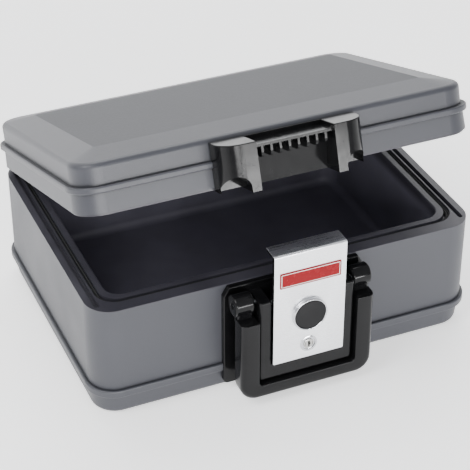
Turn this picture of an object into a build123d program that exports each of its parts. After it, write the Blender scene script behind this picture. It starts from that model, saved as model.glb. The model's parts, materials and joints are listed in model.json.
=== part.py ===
from build123d import *

import os

# A portable fire-resistant document chest, drawn with its lid held part open.
# Millimetres, +X to the right, +Y to the back, +Z up.  The origin is the middle of the
# flat underside, on the surface that the chest stands on.

# ---- overall sizes ----
chest_width = 384.0  # across the rim of the base, without the ribs
chest_depth = 275.4  # front wall to rear wall at the rim
chest_corner = 25.0  # plan radius of the rim's corners
base_height = 117.6  # underside to the top of the black rim
lid_wall_height = 43.6  # lower edge of the lid's wall to the top of that wall
lid_crown = 5.8  # rise of the lid's middle panel above its wall
lid_open_angle = 19.3  # how far the lid stands open as drawn, degrees

# ---- shells ----
shell_wall = 3.0
liner_wall = 2.2
seam_gap = 2.5  # shadow gap between the base rim and the lid's wall, lid closed
rib_bottom = 22.0
rib_height = 8.0
rib_reach = 3.4
rib_round = 1.6
lower_inset = 1.0
bottom_inset = 2.5
bottom_round = 6.0
lid_rib_rise = 17.9  # lower edge of the lid's wall to its rib
lid_rib_height = 6.1
lid_rib_inset = -2.8  # the lid's rib stands out by this much
lid_upper_inset = 2.0
lid_top_round = 5.0
panel_margin_x = 32.0  # sloping border of the lid's top, at the ends
panel_margin_y = 40.0  # the same, at the front and back

# ---- black rim, tub and seal ----
rim_flange = 1.2
rim_depth = 9.0
land_width = 12.6
groove_width = 5.0
groove_depth = 6.0
rim_width = 24.0
lip_drop = 0.6
lip_round = 1.6
tub_corner = 16.0
tub_floor = 30.0
tub_draft = 5.0
tub_floor_round = 8.0
seal_height = 4.0
seal_side_gap = 0.2
channel_inset = 6.6
channel_width = 4.6
channel_depth = 5.0
channel_end_gap = 12.0
tongue_width = 2.6
tongue_height = 1.6
lid_seat_gap = 0.2
lid_flange_inset = 2.0
lid_hollow_depth = 20.0
lid_hollow_draft = 3.0

# ---- rear hinges ----
hinge_end_room = 82.0  # middle of each hinge in from the chest's end
hinge_inset = 0.4  # axis in front of the rear wall's outer face
hinge_rise = 0.9  # axis above the black rim
knuckle_radius = 5.0
knuckle_length = 14.0
lid_knuckle_length = 20.0
knuckle_gap = 0.4
hinge_pin_radius = 2.0
leaf_thickness = 2.2
leaf_drop = 22.0
notch_gap = 0.8
leaf_screw_pitch = 28.0
leaf_screw_radius = 1.5
leaf_screw_head = 3.0
leaf_screw_sink = 1.0
screw_cross = 2.2  # arm of the cross cut in a screw's head

# ---- front hardware ----
bezel_side_margin = 4.0  # bezel beyond the handle's arms
bezel_thickness = 5.5
bezel_bottom = 8.0
bezel_corner = 9.0
housing_half_width = 47.0
housing_bottom = 25.3
housing_front = 34.3  # housing's face in front of the front wall
housing_drop = 5.6  # top of the housing below the rim
housing_round = 3.0
pocket_floor = 7.5  # pocket floor in front of the front wall
housing_side_wall = 11.0
plate_front = 38.3  # face plate in front of the front wall
plate_half_width = 35.3
plate_below_lock = 15.0
plate_rise = 0.8  # top of the plate above the lid's ears, lid closed
plate_fold = 18.5
sheet = 1.2
plate_bend = 2.0
arm_thickness = 4.8
arm_hook_thickness = 2.8
arm_side_gap = 0.7
pivot_drop = 11.6  # latch and handle pivots below the rim
pivot_forward = 27.0
lever_pin_radius = 2.0
lever_pin_seat = 3.0
lever_lug_inset = 8.6
lever_lug_width = 6.0
lever_lug_radius = 5.0
lever_spring_wire = 1.2

# ---- button and lock ----
button_drop = 14.0  # below the latch's pivot
button_radius = 15.0
button_gap = 0.25
button_travel = 3.0
button_proud = 2.4
button_thickness = 4.0
ring_width = 2.0
ring_proud = 3.0
cup_wall = 1.6
cup_depth = 9.0
cup_floor = 2.0
stem_radius = 4.0
stem_length = 19.0
clip_radius = 6.5
clip_thickness = 1.0
spring_wire = 1.0
spring_radius = 9.0
lock_drop = 34.0  # below the button
lock_radius = 7.0
lock_flange_reach = 1.4
lock_flange = 0.8
lock_length = 15.0
lock_wall = 2.0
cam_length = 13.0
cam_width = 8.0
cam_thickness = 2.0
nut_reach = 3.5
nut_thickness = 3.0
keyway_width = 1.6
keyway_height = 6.0

# ---- badge ----
badge_width = 60.0
badge_height = 16.2
badge_thickness = 0.8
badge_drop = 27.0  # middle of the badge below the plate's top

# ---- carry handle ----
handle_side_gap = 1.6  # arms beside the housing
handle_arm_width = 17.4
handle_front = 39.0  # front of the grip, in front of the front wall
handle_back = 20.0
handle_low = 8.0
handle_bar_top = 23.2
handle_bend = 16.0
handle_inner_bend = 4.0
handle_pivot_forward = 18.5
hub_radius = 10.5
hub_gap = 1.0
handle_round = 5.0
handle_pin_radius = 3.0
handle_pin_length = 25.0
handle_pin_start = 4.5  # inside the housing's side wall

# ---- lid's front moulding ----
ear_plate_gap = 1.8  # ears beside the face plate
ear_width = 31.9
ear_front = 31.5  # ears in front of the front wall
ear_curve = 20.0  # how far the ear's curved front runs back at its outer end
ear_top_drop = 2.8  # top of the ears below the top of the lid's wall
ear_leg = 8.6
ear_foot_drop = 3.0  # feet of the ears below the lid's wall
arch_radius = 11.5
arch_rise = 4.0
lid_bezel_thickness = 4.0
recess_forward = 12.0  # recess floor in front of the front wall, under the thumb lip
recess_slope = 5.5  # how far the floor runs back towards its foot
visor_thickness = 2.4
visor_forward = 27.5
visor_drop = 3.9  # top of the thumb lip below the ears' tops
thumb_rib_count = 8
thumb_rib_width = 2.2
thumb_rib_drop = 11.0
thumb_rib_round = 5.0
lid_screw_reach = 7.0

# ---- fits and fasteners ----
running_gap = 0.05
fitted_gap = 0.01
part_gap = 0.3
screw_radius = 2.0
screw_head_radius = 4.0
screw_head_height = 2.2
screw_reach = 10.0
plug_radius = 12.0
plug_thickness = 2.2
plug_spacing = 150.0

# ---- worked out from the above ----
front_wall = -chest_depth / 2
rear_wall = chest_depth / 2
hinge_y = rear_wall - hinge_inset
hinge_z = base_height + hinge_rise
lid_low = base_height + seam_gap
lid_wall_top = lid_low + lid_wall_height
ear_top = lid_wall_top - ear_top_drop
hinge_spacing = chest_width - 2 * hinge_end_room
housing_top = base_height - housing_drop
pivot_height = base_height - pivot_drop
button_height = pivot_height - button_drop
lock_height = button_height - lock_drop
plate_bottom = lock_height - plate_below_lock
plate_top = ear_top + plate_rise
badge_centre = plate_top - badge_drop
ring_radius = button_radius + ring_width
lock_flange_radius = lock_radius + lock_flange_reach
lock_plug_radius = lock_radius - lock_wall
nut_radius = lock_radius + nut_reach
handle_inner = housing_half_width + handle_side_gap
handle_outer = handle_inner + handle_arm_width
bezel_half_width = handle_outer + bezel_side_margin
ear_inner = plate_half_width + ear_plate_gap
ear_outer = ear_inner + ear_width
plate_y = front_wall - plate_front
arm_y = plate_y + sheet
arm_back = arm_y + arm_thickness
arm_half_width = plate_half_width - arm_side_gap
lever_lug_x = arm_half_width - lever_lug_inset
arm_top = plate_top - sheet
pivot_y = front_wall - pivot_forward
handle_pivot_y = front_wall - handle_pivot_forward
pocket_y = front_wall - pocket_floor
pocket_half_width = housing_half_width - housing_side_wall
housing_y = front_wall - housing_front
bezel_y = front_wall - bezel_thickness
lever_pin_end = pocket_half_width + lever_pin_seat
handle_pin_x = pocket_half_width + handle_pin_start


def outline(inset):
    """Plan outline of the chest's rim, moved inwards; the corners tighten towards the tub's."""
    if inset < 0:
        corner = chest_corner - inset
    else:
        corner = chest_corner + (tub_corner - chest_corner) * min(inset / rim_width, 1.0)
    return RectangleRounded(chest_width - 2 * inset, chest_depth - 2 * inset, corner)


def prism(inset, low, high):
    """A straight block on the rim's outline."""
    return extrude(Pos(0, 0, low) * outline(inset), high - low)


def taper(low_inset, low, high_inset, high):
    """A block that goes from one outline to another."""
    return loft([Pos(0, 0, low) * outline(low_inset), Pos(0, 0, high) * outline(high_inset)])


def ring(outer_inset, inner_inset, low, high):
    return prism(outer_inset, low, high) - prism(inner_inset, low, high)


def box(x0, x1, y0, y1, z0, z1):
    """A block given by its two corners."""
    size = Box(x1 - x0, y1 - y0, z1 - z0)
    return Pos((x0 + x1) / 2, (y0 + y1) / 2, (z0 + z1) / 2) * size


def rod_x(radius, x0, x1, y, z):
    return Pos((x0 + x1) / 2, y, z) * Rot(0, 90, 0) * Cylinder(radius, x1 - x0)


def rod_y(radius, y0, y1, x, z):
    return Pos(x, (y0 + y1) / 2, z) * Rot(90, 0, 0) * Cylinder(radius, y1 - y0)


def rod_z(radius, z0, z1, x, y):
    return Pos(x, y, (z0 + z1) / 2) * Cylinder(radius, z1 - z0)


def level_edges(shape, z):
    """Edges that lie flat at one height."""
    near = 0.01
    return [e for e in shape.edges() if abs(e.bounding_box().min.Z - z) < near
            and abs(e.bounding_box().max.Z - z) < near]


def opened(shape):
    """Turns a lid piece, drawn closed, to where the lid stands."""
    return Pos(0, hinge_y, hinge_z) * Rot(-lid_open_angle, 0, 0) * Pos(0, -hinge_y, -hinge_z) * shape


def both_sides(shape):
    return [shape, mirror(shape, Plane.YZ)]


def joined(shapes):
    """Separate solids that share one node."""
    solids = []
    for shape in shapes:
        solids.extend(shape.solids())
    return Compound(solids)


# ---------------------------------------------------------------- base


def rib_band(reach_inset, low, height):
    band = prism(reach_inset, low, low + height)
    return fillet(level_edges(band, low) + level_edges(band, low + height), rib_round)


def base_outer():
    lower = taper(bottom_inset, 0, lower_inset, rib_bottom)
    lower = fillet(level_edges(lower, 0), bottom_round)
    upper = prism(0, rib_bottom, base_height - rim_flange)
    return lower + upper + rib_band(-rib_reach, rib_bottom, rib_height)


def base_cavity():
    lower = taper(bottom_inset + shell_wall, shell_wall, lower_inset + shell_wall, rib_bottom)
    return lower + prism(shell_wall, rib_bottom, base_height - rim_flange)


def hinge_notches():
    """Room in the rear rim for the hinge knuckles, on both sides."""
    half = knuckle_length + lid_knuckle_length / 2 + knuckle_gap + notch_gap
    room = knuckle_radius + notch_gap
    x = hinge_spacing / 2
    cut = box(x - half, x + half, hinge_y - room, hinge_y + 4 * room, hinge_z - room, hinge_z + room)
    return both_sides(cut)


def housing_screw_places():
    """Screws from inside the front wall into the bezel and housing."""
    rows = (housing_top - housing_bottom) / 3
    x = housing_half_width - housing_side_wall / 2
    return [(side, housing_bottom + rows * k) for side in (-x, x) for k in (1, 2)]


def base_fill_holes(radius, low, high):
    return [rod_z(radius, low, high, x, 0) for x in (-plug_spacing / 2, plug_spacing / 2)]


def make_base_shell():
    shell = base_outer() - base_cavity()
    for x, z in housing_screw_places():
        shell -= rod_y(screw_radius + running_gap, front_wall - 1, front_wall + shell_wall + 1, x, z)
    for cut in base_fill_holes(plug_radius, -1, shell_wall + 1):
        shell -= cut
    for cut in hinge_notches() + leaf_screw_rods(0.0):
        shell -= cut
    return shell


def tub_space():
    """The hollow of the tub, with its rounded floor."""
    space = taper(rim_width + tub_draft, tub_floor, rim_width, base_height + 1)
    return fillet(level_edges(space, tub_floor), tub_floor_round)


def tub_skin():
    floor = tub_floor - liner_wall
    skin = taper(rim_width + tub_draft - liner_wall, floor, rim_width - liner_wall, base_height)
    return fillet(level_edges(skin, floor), tub_floor_round)


def make_base_liner():
    rim = prism(0, base_height - rim_flange, base_height)
    rim += prism(shell_wall, base_height - rim_depth, base_height - rim_flange)
    liner = rim + tub_skin() - tub_space()
    liner -= ring(land_width, land_width + groove_width, base_height - groove_depth, base_height + 1)
    liner -= ring(land_width + groove_width, rim_width + 1, base_height - lip_drop, base_height + 1)
    liner = fillet(tub_mouth_edges(liner), lip_round)
    channel_y = chest_depth / 2 - channel_end_gap
    x0 = chest_width / 2 - channel_inset - channel_width
    channel_low = base_height - channel_depth
    slot = box(x0, x0 + channel_width, -channel_y, channel_y, channel_low, base_height + 1)
    slot = fillet(slot.edges().filter_by(Axis.Z), channel_width / 2 - 0.1)
    for cut in both_sides(slot) + hinge_notches():
        liner -= cut
    return liner


def tub_mouth_edges(liner):
    """The edge where the rim's lip turns down into the tub."""
    found = []
    for edge in level_edges(liner, base_height - lip_drop):
        middle = edge.position_at(0.5)
        inside_x = abs(middle.X) < chest_width / 2 - rim_width + 1
        if inside_x and abs(middle.Y) < chest_depth / 2 - rim_width + 1:
            found.append(edge)
    return found


def make_rim_seal():
    outer = land_width + seal_side_gap
    inner = land_width + groove_width - seal_side_gap
    low = base_height - groove_depth
    seal = ring(outer, inner, low, low + seal_height)
    return fillet(level_edges(seal, low + seal_height), (inner - outer) / 2 - 0.4)


def make_base_insulation(liner, screws):
    fill = base_cavity() & prism(0, 0, base_height - rim_depth)
    fill -= tub_skin()
    for cut in hinge_notches() + base_fill_holes(plug_radius + part_gap, 0, plug_thickness + 1.5):
        fill -= cut
    for cut in leaf_screw_rods(part_gap):
        fill -= cut
    return fill - screws - liner


def make_base_fill_plugs():
    recess = 0.8
    return joined(base_fill_holes(plug_radius - running_gap, recess, recess + plug_thickness))


# ---------------------------------------------------------------- front hardware


def make_front_bezel():
    top = base_height - rim_flange
    plate = box(-bezel_half_width, bezel_half_width, bezel_y, front_wall, bezel_bottom, top)
    upright = plate.edges().filter_by(Axis.Y)
    plate = chamfer(upright.sort_by(Axis.Z)[-2:], bezel_corner, bezel_corner * 0.6)
    plate = fillet(plate.edges().filter_by(Axis.Y).sort_by(Axis.Z)[:2], bezel_corner / 2)
    plate = fillet(plate.faces().sort_by(Axis.Y)[0].edges(), 1.2)
    rib = prism(-rib_reach - part_gap, rib_bottom - part_gap, rib_bottom + rib_height + part_gap)
    plate -= rib
    for x, z in housing_screw_places():
        plate -= rod_y(screw_radius + running_gap, bezel_y - 1, front_wall + 1, x, z)
    return plate


def make_latch_housing():
    body = box(-housing_half_width, housing_half_width, housing_y, bezel_y, housing_bottom, housing_top)
    body = fillet(body.edges().filter_by(Axis.Z).sort_by(Axis.Y)[:2], housing_round)
    front_edges = level_edges(body, housing_bottom) + level_edges(body, housing_top)
    front_edges = [e for e in front_edges if e.center().Y < bezel_y - 5]
    body = fillet(front_edges, 1.5)
    pocket_low = plate_bottom - 1.5
    body -= box(-pocket_half_width, pocket_half_width, housing_y - 1, pocket_y, pocket_low, housing_top + 1)
    reach = screw_reach
    for x, z in housing_screw_places():
        body -= rod_y(screw_radius + fitted_gap, bezel_y - reach, bezel_y + 1, x, z)
    body -= rod_x(lever_pin_radius + fitted_gap, -lever_pin_end, lever_pin_end, pivot_y, pivot_height)
    for side in (-1, 1):
        ends = sorted((side * handle_pin_x, side * (housing_half_width + 1)))
        body -= rod_x(handle_pin_radius + fitted_gap, *ends, handle_pivot_y, pivot_height)
    return body


def make_housing_screws():
    screws = []
    for x, z in housing_screw_places():
        shank = rod_y(screw_radius, bezel_y - screw_reach + 1, front_wall + shell_wall, x, z)
        head_y = front_wall + shell_wall
        head = rod_y(screw_head_radius, head_y, head_y + screw_head_height, x, z)
        screws.append(shank + head)
    return joined(screws)


def make_lever_pin():
    return rod_x(lever_pin_radius, -lever_pin_end, lever_pin_end, pivot_y, pivot_height)


def make_handle_pins():
    end = handle_pin_x + handle_pin_length
    pin = rod_x(handle_pin_radius, handle_pin_x, end, handle_pivot_y, pivot_height)
    return joined(both_sides(pin))


def make_carry_handle():
    """A hanging U: two round hubs, two deep arms and a grip bar, in one moulding."""
    y_front = front_wall - handle_front
    y_back = front_wall - handle_back
    pivot = pivot_height
    shoulder = pivot - hub_radius - hub_gap
    frame = box(-handle_outer, handle_outer, y_front, y_back, handle_low, shoulder)
    frame = fillet(frame.edges().filter_by(Axis.Y).sort_by(Axis.Z)[:2], handle_bend)
    opening = box(-handle_inner, handle_inner, y_front - 1, y_back + 1, handle_bar_top, pivot)
    opening = fillet(opening.edges().filter_by(Axis.Y).sort_by(Axis.Z)[:2], handle_inner_bend)
    frame -= opening
    front_edges = frame.faces().sort_by(Axis.Y)[0].edges()
    frame = fillet([e for e in front_edges if not runs_inside(e)], handle_round)
    back_edges = frame.faces().sort_by(Axis.Y)[-1].edges()
    frame = fillet([e for e in back_edges if not runs_inside(e)], handle_round / 2)
    hub = rod_x(hub_radius, handle_inner + 0.4, handle_outer + 1.5, handle_pivot_y, pivot)
    hub = fillet(hub.edges().filter_by(GeomType.CIRCLE), 2.2)
    neck = box(handle_inner + 1.2, handle_outer - 1.2, handle_pivot_y - 8.5, handle_pivot_y + 2.0,
               shoulder - 4, pivot)
    handle = frame
    for side in both_sides(hub + neck):
        handle += side
    bore = rod_x(handle_pin_radius + running_gap, 0, chest_width, handle_pivot_y, pivot)
    for cut in both_sides(bore):
        handle -= cut
    return handle


def runs_inside(edge):
    """True for the handle's edges round its opening and at its shoulders."""
    middle = edge.position_at(0.5)
    inside = abs(middle.X) < handle_inner + 0.1 and middle.Z > handle_bar_top - 0.1
    return inside or middle.Z > pivot_height - hub_radius - hub_gap - 0.1


# ---------------------------------------------------------------- latch, button and lock


def front_top_edge(shape):
    """The edge along X where a shape's front meets its top."""
    top = shape.edges().filter_by(Axis.X).group_by(Axis.Z)[-1]
    return top.sort_by(Axis.Y)[0]


def make_latch_lever():
    arm = box(-arm_half_width, arm_half_width, arm_y, arm_back, plate_bottom + 0.5, arm_top)
    hook_back = plate_y + plate_fold - 0.6
    arm += box(-arm_half_width, arm_half_width, arm_y, hook_back, arm_top - arm_hook_thickness, arm_top)
    outer = front_top_edge(arm)
    arm = fillet(outer, max(plate_bend - sheet, 0.2) + 0.05)
    lug = rod_x(lever_lug_radius, lever_lug_x, lever_lug_x + lever_lug_width, pivot_y, pivot_height)
    web_low = pivot_height - lever_lug_radius
    web = box(lever_lug_x, lever_lug_x + lever_lug_width, arm_back - 0.5, pivot_y, web_low,
              pivot_height + lever_lug_radius)
    for side in both_sides(lug + web):
        arm += side
    bore = button_radius + button_gap
    arm += rod_y(bore + cup_wall, arm_back - 0.5, arm_back + cup_depth, 0, button_height)
    arm -= rod_y(bore, plate_y - 1, arm_back + cup_depth - cup_floor, 0, button_height)
    arm -= rod_y(stem_radius + running_gap, arm_y, arm_back + cup_depth + 1, 0, button_height)
    arm -= rod_x(lever_pin_radius + running_gap, -arm_half_width, arm_half_width, pivot_y, pivot_height)
    arm -= rod_y(lock_radius + fitted_gap, plate_y - 1, arm_back + 1, 0, lock_height)
    return arm


def make_face_plate():
    """One sheet, folded back over the top of the lever."""
    front = box(-plate_half_width, plate_half_width, plate_y, arm_y, plate_bottom, plate_top)
    fold = box(-plate_half_width, plate_half_width, plate_y, plate_y + plate_fold, arm_top, plate_top)
    plate = front + fold
    bend = front_top_edge(plate)
    plate = fillet(bend, plate_bend)
    inner = [e for e in plate.edges().filter_by(Axis.X)
             if abs(e.center().Z - arm_top) < 0.01 and abs(e.center().Y - arm_y) < 0.01]
    plate = fillet(inner, plate_bend - sheet)
    corners = plate.edges().filter_by(Axis.Y).sort_by(Axis.Z)[:2]
    plate = fillet(corners, 1.5)
    plate -= rod_y(button_radius + button_gap, plate_y - 1, arm_y + 1, 0, button_height)
    return plate - rod_y(lock_radius + fitted_gap, plate_y - 1, arm_y + 1, 0, lock_height)


def make_badge():
    badge = box(-badge_width / 2, badge_width / 2, plate_y - badge_thickness, plate_y,
                badge_centre - badge_height / 2, badge_centre + badge_height / 2)
    badge = fillet(badge.edges().filter_by(Axis.Y), 1.0)
    return fillet(badge.faces().sort_by(Axis.Y)[0].edges(), 0.3)


def make_button_ring():
    bore = button_radius + button_gap
    ring_solid = rod_y(ring_radius, plate_y - ring_proud, plate_y, 0, button_height)
    ring_solid = fillet(ring_solid.faces().sort_by(Axis.Y)[0].edges(), 1.2)
    return ring_solid - rod_y(bore, plate_y - ring_proud - 1, plate_y + 1, 0, button_height)


def make_push_button():
    face_y = plate_y - button_proud
    cap = rod_y(button_radius, face_y, face_y + button_thickness + 2.0, 0, button_height)
    cap = fillet(cap.faces().sort_by(Axis.Y)[0].edges(), 1.2)
    stem = rod_y(stem_radius, face_y + button_thickness, face_y + stem_length, 0, button_height)
    button = cap + stem
    groove_y = clip_place()
    groove = rod_y(stem_radius + 1, groove_y, groove_y + clip_thickness, 0, button_height)
    groove -= rod_y(stem_radius - 0.8, groove_y, groove_y + clip_thickness, 0, button_height)
    return button - groove


def clip_place():
    """Front face of the retaining clip, just behind the cup's floor."""
    return arm_back + cup_depth + 0.2


def make_button_clip():
    y = clip_place()
    clip = rod_y(clip_radius, y, y + clip_thickness, 0, button_height)
    clip -= rod_y(stem_radius - 0.8, y - 1, y + 2, 0, button_height)
    half = stem_radius * 0.7
    slot = box(-half, half, y - 1, y + 2, button_height - clip_radius - 1, button_height)
    return clip - slot


def coil(radius, wire, turns, length):
    """A helical spring along Z, from its foot at the origin."""
    path = Helix(pitch=length / turns, height=length, radius=radius)
    section = Plane(origin=path @ 0, z_dir=path % 0) * Circle(wire / 2)
    return sweep(section, path=path, is_frenet=True)


def make_button_spring():
    back = arm_back + cup_depth - cup_floor - spring_wire / 2 - 0.1
    front = plate_y - button_proud + button_thickness + 2.0 + button_travel + spring_wire / 2 + 0.1
    spring = coil(spring_radius, spring_wire, 3, back - front)
    return Pos(0, back, button_height) * Rot(90, 0, 0) * spring


def make_lever_spring():
    """The torsion spring's coils, on the latch's pin between the button's cup and a lug."""
    start = button_radius + button_gap + cup_wall + 1.5
    length = lever_lug_x - start - 1.5
    radius = lever_pin_radius + lever_spring_wire
    turns = length / (lever_spring_wire * 1.1)
    spring = coil(radius, lever_spring_wire, turns, length)
    return Pos(start, pivot_y, pivot_height) * Rot(0, 90, 0) * spring


def make_lock_barrel():
    y0 = plate_y - lock_flange
    barrel = rod_y(lock_radius, plate_y, y0 + lock_length, 0, lock_height)
    flange = rod_y(lock_flange_radius, y0, plate_y, 0, lock_height)
    flange = fillet(flange.faces().sort_by(Axis.Y)[0].edges(), 0.5)
    barrel += flange
    return barrel - rod_y(lock_plug_radius + running_gap, y0 - 1, y0 + lock_length + 1, 0, lock_height)


def make_lock_nut():
    nut = Pos(0, arm_back + nut_thickness / 2, lock_height) * Rot(90, 0, 0) * extrude(
        RegularPolygon(nut_radius, 6), nut_thickness / 2, both=True)
    return nut - rod_y(lock_radius + fitted_gap, arm_back - 1, arm_back + nut_thickness + 1, 0, lock_height)


def make_lock_plug():
    y0 = plate_y - lock_flange - 0.4
    end = plate_y - lock_flange + lock_length + cam_thickness + 0.2
    plug = rod_y(lock_plug_radius, y0, plate_y - lock_flange + lock_length + 0.2, 0, lock_height)
    plug = fillet(plug.faces().sort_by(Axis.Y)[0].edges(), 0.4)
    tail_size = lock_plug_radius * 0.6
    tail_y = end - cam_thickness - 1
    plug += box(-tail_size, tail_size, tail_y, end, lock_height - tail_size, lock_height + tail_size)
    keyway = box(-keyway_width / 2, keyway_width / 2, y0 - 1, y0 + 8, lock_height - keyway_height / 2,
                 lock_height + keyway_height / 2)
    plug -= keyway
    return plug - rod_y(1.2, end - 6, end + 1, 0, lock_height)


def cam_front():
    return plate_y - lock_flange + lock_length + 0.2


def make_lock_cam():
    """The tongue behind the lock: along the plate when free, across it when locked."""
    y0 = cam_front()
    tail_size = lock_plug_radius * 0.6 + running_gap
    cam = box(-cam_width / 2, cam_width / 2, y0, y0 + cam_thickness, lock_height - cam_length, lock_height)
    cam = fillet(cam.edges().filter_by(Axis.Y).sort_by(Axis.Z)[:2], 2.0)
    cam += rod_y(cam_width / 2 + 1, y0, y0 + cam_thickness, 0, lock_height)
    return cam - box(-tail_size, tail_size, y0 - 1, y0 + cam_thickness + 1, lock_height - tail_size,
                     lock_height + tail_size)


def make_cam_screw():
    y0 = cam_front() + cam_thickness
    head = rod_y(lock_plug_radius * 0.9, y0, y0 + 1.4, 0, lock_height)
    return head + rod_y(1.2 - fitted_gap, y0 - 5, y0, 0, lock_height)


# ---------------------------------------------------------------- rear hinges


def knuckle(x0, x1):
    barrel = rod_x(knuckle_radius, x0, x1, hinge_y, hinge_z)
    return barrel - rod_x(hinge_pin_radius + running_gap, x0 - 1, x1 + 1, hinge_y, hinge_z)


def leaf_screw_places():
    x = hinge_spacing / 2
    return [(x - leaf_screw_pitch / 2), (x + leaf_screw_pitch / 2)]


def base_leaf_z():
    return hinge_z - knuckle_radius - leaf_drop * 0.55


def lid_leaf_z():
    return hinge_z + knuckle_radius + 5.5


def leaf_screw_rod(extra, x, z):
    return rod_y(leaf_screw_radius + running_gap + extra, rear_wall - 9, rear_wall + 1, x, z)


def leaf_screw_rods(extra):
    rods = []
    for x in leaf_screw_places():
        rods += both_sides(leaf_screw_rod(extra, x, base_leaf_z()))
    return rods


def lid_screw_rods(extra):
    rods = []
    for x in leaf_screw_places():
        rods += both_sides(leaf_screw_rod(extra, x, lid_leaf_z()))
    return rods


def leaf(x0, x1, z0, z1, screw_z):
    """A hinge leaf flat on the rear wall, with two countersunk holes."""
    plate = box(x0, x1, rear_wall, rear_wall + leaf_thickness, z0, z1)
    for x in leaf_screw_places():
        outside = rear_wall + leaf_thickness + 1
        plate -= rod_y(leaf_screw_radius + running_gap, rear_wall - 1, outside, x, screw_z)
        plate -= rod_y(leaf_screw_head + running_gap, rear_wall + leaf_screw_sink, outside, x, screw_z)
    return plate


def make_hinge_base_leaves():
    x = hinge_spacing / 2
    half = lid_knuckle_length / 2 + knuckle_gap + knuckle_length
    low = hinge_z - knuckle_radius - leaf_drop
    plate = leaf(x - half, x + half, low, hinge_z - knuckle_radius - notch_gap, base_leaf_z())
    plate = fillet(plate.edges().filter_by(Axis.Y).sort_by(Axis.Z)[:2], 3.0)
    inner = lid_knuckle_length / 2 + knuckle_gap
    for x0 in (x - half, x + inner):
        plate += knuckle(x0, x0 + knuckle_length)
        web = box(x0, x0 + knuckle_length, rear_wall, rear_wall + leaf_thickness,
                  hinge_z - knuckle_radius - notch_gap - 1, hinge_z)
        plate += web - rod_x(knuckle_radius - 0.5, x0 - 1, x0 + knuckle_length + 1, hinge_y, hinge_z)
    return joined(both_sides(plate))


def make_hinge_lid_leaves():
    x = hinge_spacing / 2
    half = lid_knuckle_length / 2 + knuckle_gap + knuckle_length
    low = hinge_z + knuckle_radius + notch_gap
    high = lid_low + lid_rib_rise - part_gap
    plate = leaf(x - half, x + half, low, high, lid_leaf_z())
    x0 = x - lid_knuckle_length / 2
    plate += knuckle(x0, x0 + lid_knuckle_length)
    web = box(x0, x0 + lid_knuckle_length, rear_wall, rear_wall + leaf_thickness, hinge_z, low + 1)
    plate += web - rod_x(knuckle_radius - 0.5, x0 - 1, x0 + lid_knuckle_length + 1, hinge_y, hinge_z)
    return joined(both_sides(plate))


def make_hinge_pins():
    x = hinge_spacing / 2
    half = lid_knuckle_length / 2 + knuckle_gap + knuckle_length + 0.6
    pin = rod_x(hinge_pin_radius, x - half, x + half, hinge_y, hinge_z)
    return joined(both_sides(pin))


def leaf_screws(z):
    screws = []
    for x in leaf_screw_places():
        face = rear_wall + leaf_thickness
        shank = rod_y(leaf_screw_radius, rear_wall - 8, rear_wall + leaf_screw_sink, x, z)
        head = rod_y(leaf_screw_head, rear_wall + leaf_screw_sink, face, x, z)
        screw = shank + head
        for across, up in ((screw_cross, 0.4), (0.4, screw_cross)):
            screw -= box(x - across, x + across, face - 0.7, face + 1, z - up, z + up)
        screws += both_sides(screw)
    return joined(screws)


# ---------------------------------------------------------------- lid, drawn closed


def lid_roof(inset, rise):
    """The shallow hipped top: sloping borders round a flat middle panel."""
    low = Pos(0, 0, lid_wall_top) * outline(inset)
    panel = RectangleRounded(chest_width - 2 * panel_margin_x, chest_depth - 2 * panel_margin_y, 3.0)
    return loft([low, Pos(0, 0, lid_wall_top + rise) * panel])


def lid_outer():
    lower = taper(0, lid_low, lid_upper_inset / 2, lid_low + lid_rib_rise + lid_rib_height / 2)
    upper = prism(lid_upper_inset, lid_low + lid_rib_rise, lid_wall_top)
    top = upper + lid_roof(lid_upper_inset, lid_crown)
    top = fillet(level_edges(top, lid_wall_top), lid_top_round)
    return lower + top + rib_band(lid_rib_inset, lid_low + lid_rib_rise, lid_rib_height)


def lid_cavity():
    inset = lid_upper_inset + shell_wall
    space = prism(inset, lid_low, lid_wall_top - shell_wall)
    roof = Pos(0, 0, -shell_wall) * lid_roof(inset, lid_crown)
    return space + roof


def lid_hollow():
    """The dished hollow under the lid."""
    top = base_height + lid_hollow_depth
    space = taper(rim_width, base_height - 1, rim_width + lid_hollow_draft, top)
    return fillet(level_edges(space, top), tub_floor_round)


def lid_liner_skin():
    top = base_height + lid_hollow_depth + liner_wall
    inset = rim_width - liner_wall
    skin = taper(inset, base_height + lid_seat_gap, inset + lid_hollow_draft, top)
    return fillet(level_edges(skin, top), tub_floor_round)


def lid_bezel_screw_places():
    z = (lid_low + ear_top) / 2
    ear_middle = (ear_inner + ear_outer) / 2
    return [(x, z) for x in (-ear_middle, -ear_inner / 2, ear_inner / 2, ear_middle)]


def make_lid_shell():
    shell = lid_outer() - lid_cavity()
    for cut in hinge_notches() + lid_screw_rods(0.0):
        shell -= cut
    for x, z in lid_bezel_screw_places():
        outside = front_wall - rib_reach - 1
        shell -= rod_y(screw_radius + running_gap, outside, front_wall + shell_wall + 6, x, z)
    return shell


def make_lid_liner():
    low = base_height + lid_seat_gap
    flange = prism(lid_flange_inset, low, lid_low)
    liner = flange + prism(lid_upper_inset + shell_wall, lid_low, lid_low + 2.0)
    liner += lid_liner_skin()
    middle = land_width + groove_width / 2
    liner += ring(middle - tongue_width / 2, middle + tongue_width / 2, low - tongue_height, low)
    liner -= lid_hollow()
    for cut in hinge_notches():
        liner -= cut
    for cut in lid_plug_rods(plug_radius * 0.7):
        liner -= cut
    return liner


def lid_plug_rods(radius):
    ceiling = base_height + lid_hollow_depth
    spread = (-plug_spacing / 2, plug_spacing / 2)
    return [rod_z(radius, ceiling - 0.01, ceiling + liner_wall + 0.01, x, 0) for x in spread]


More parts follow.
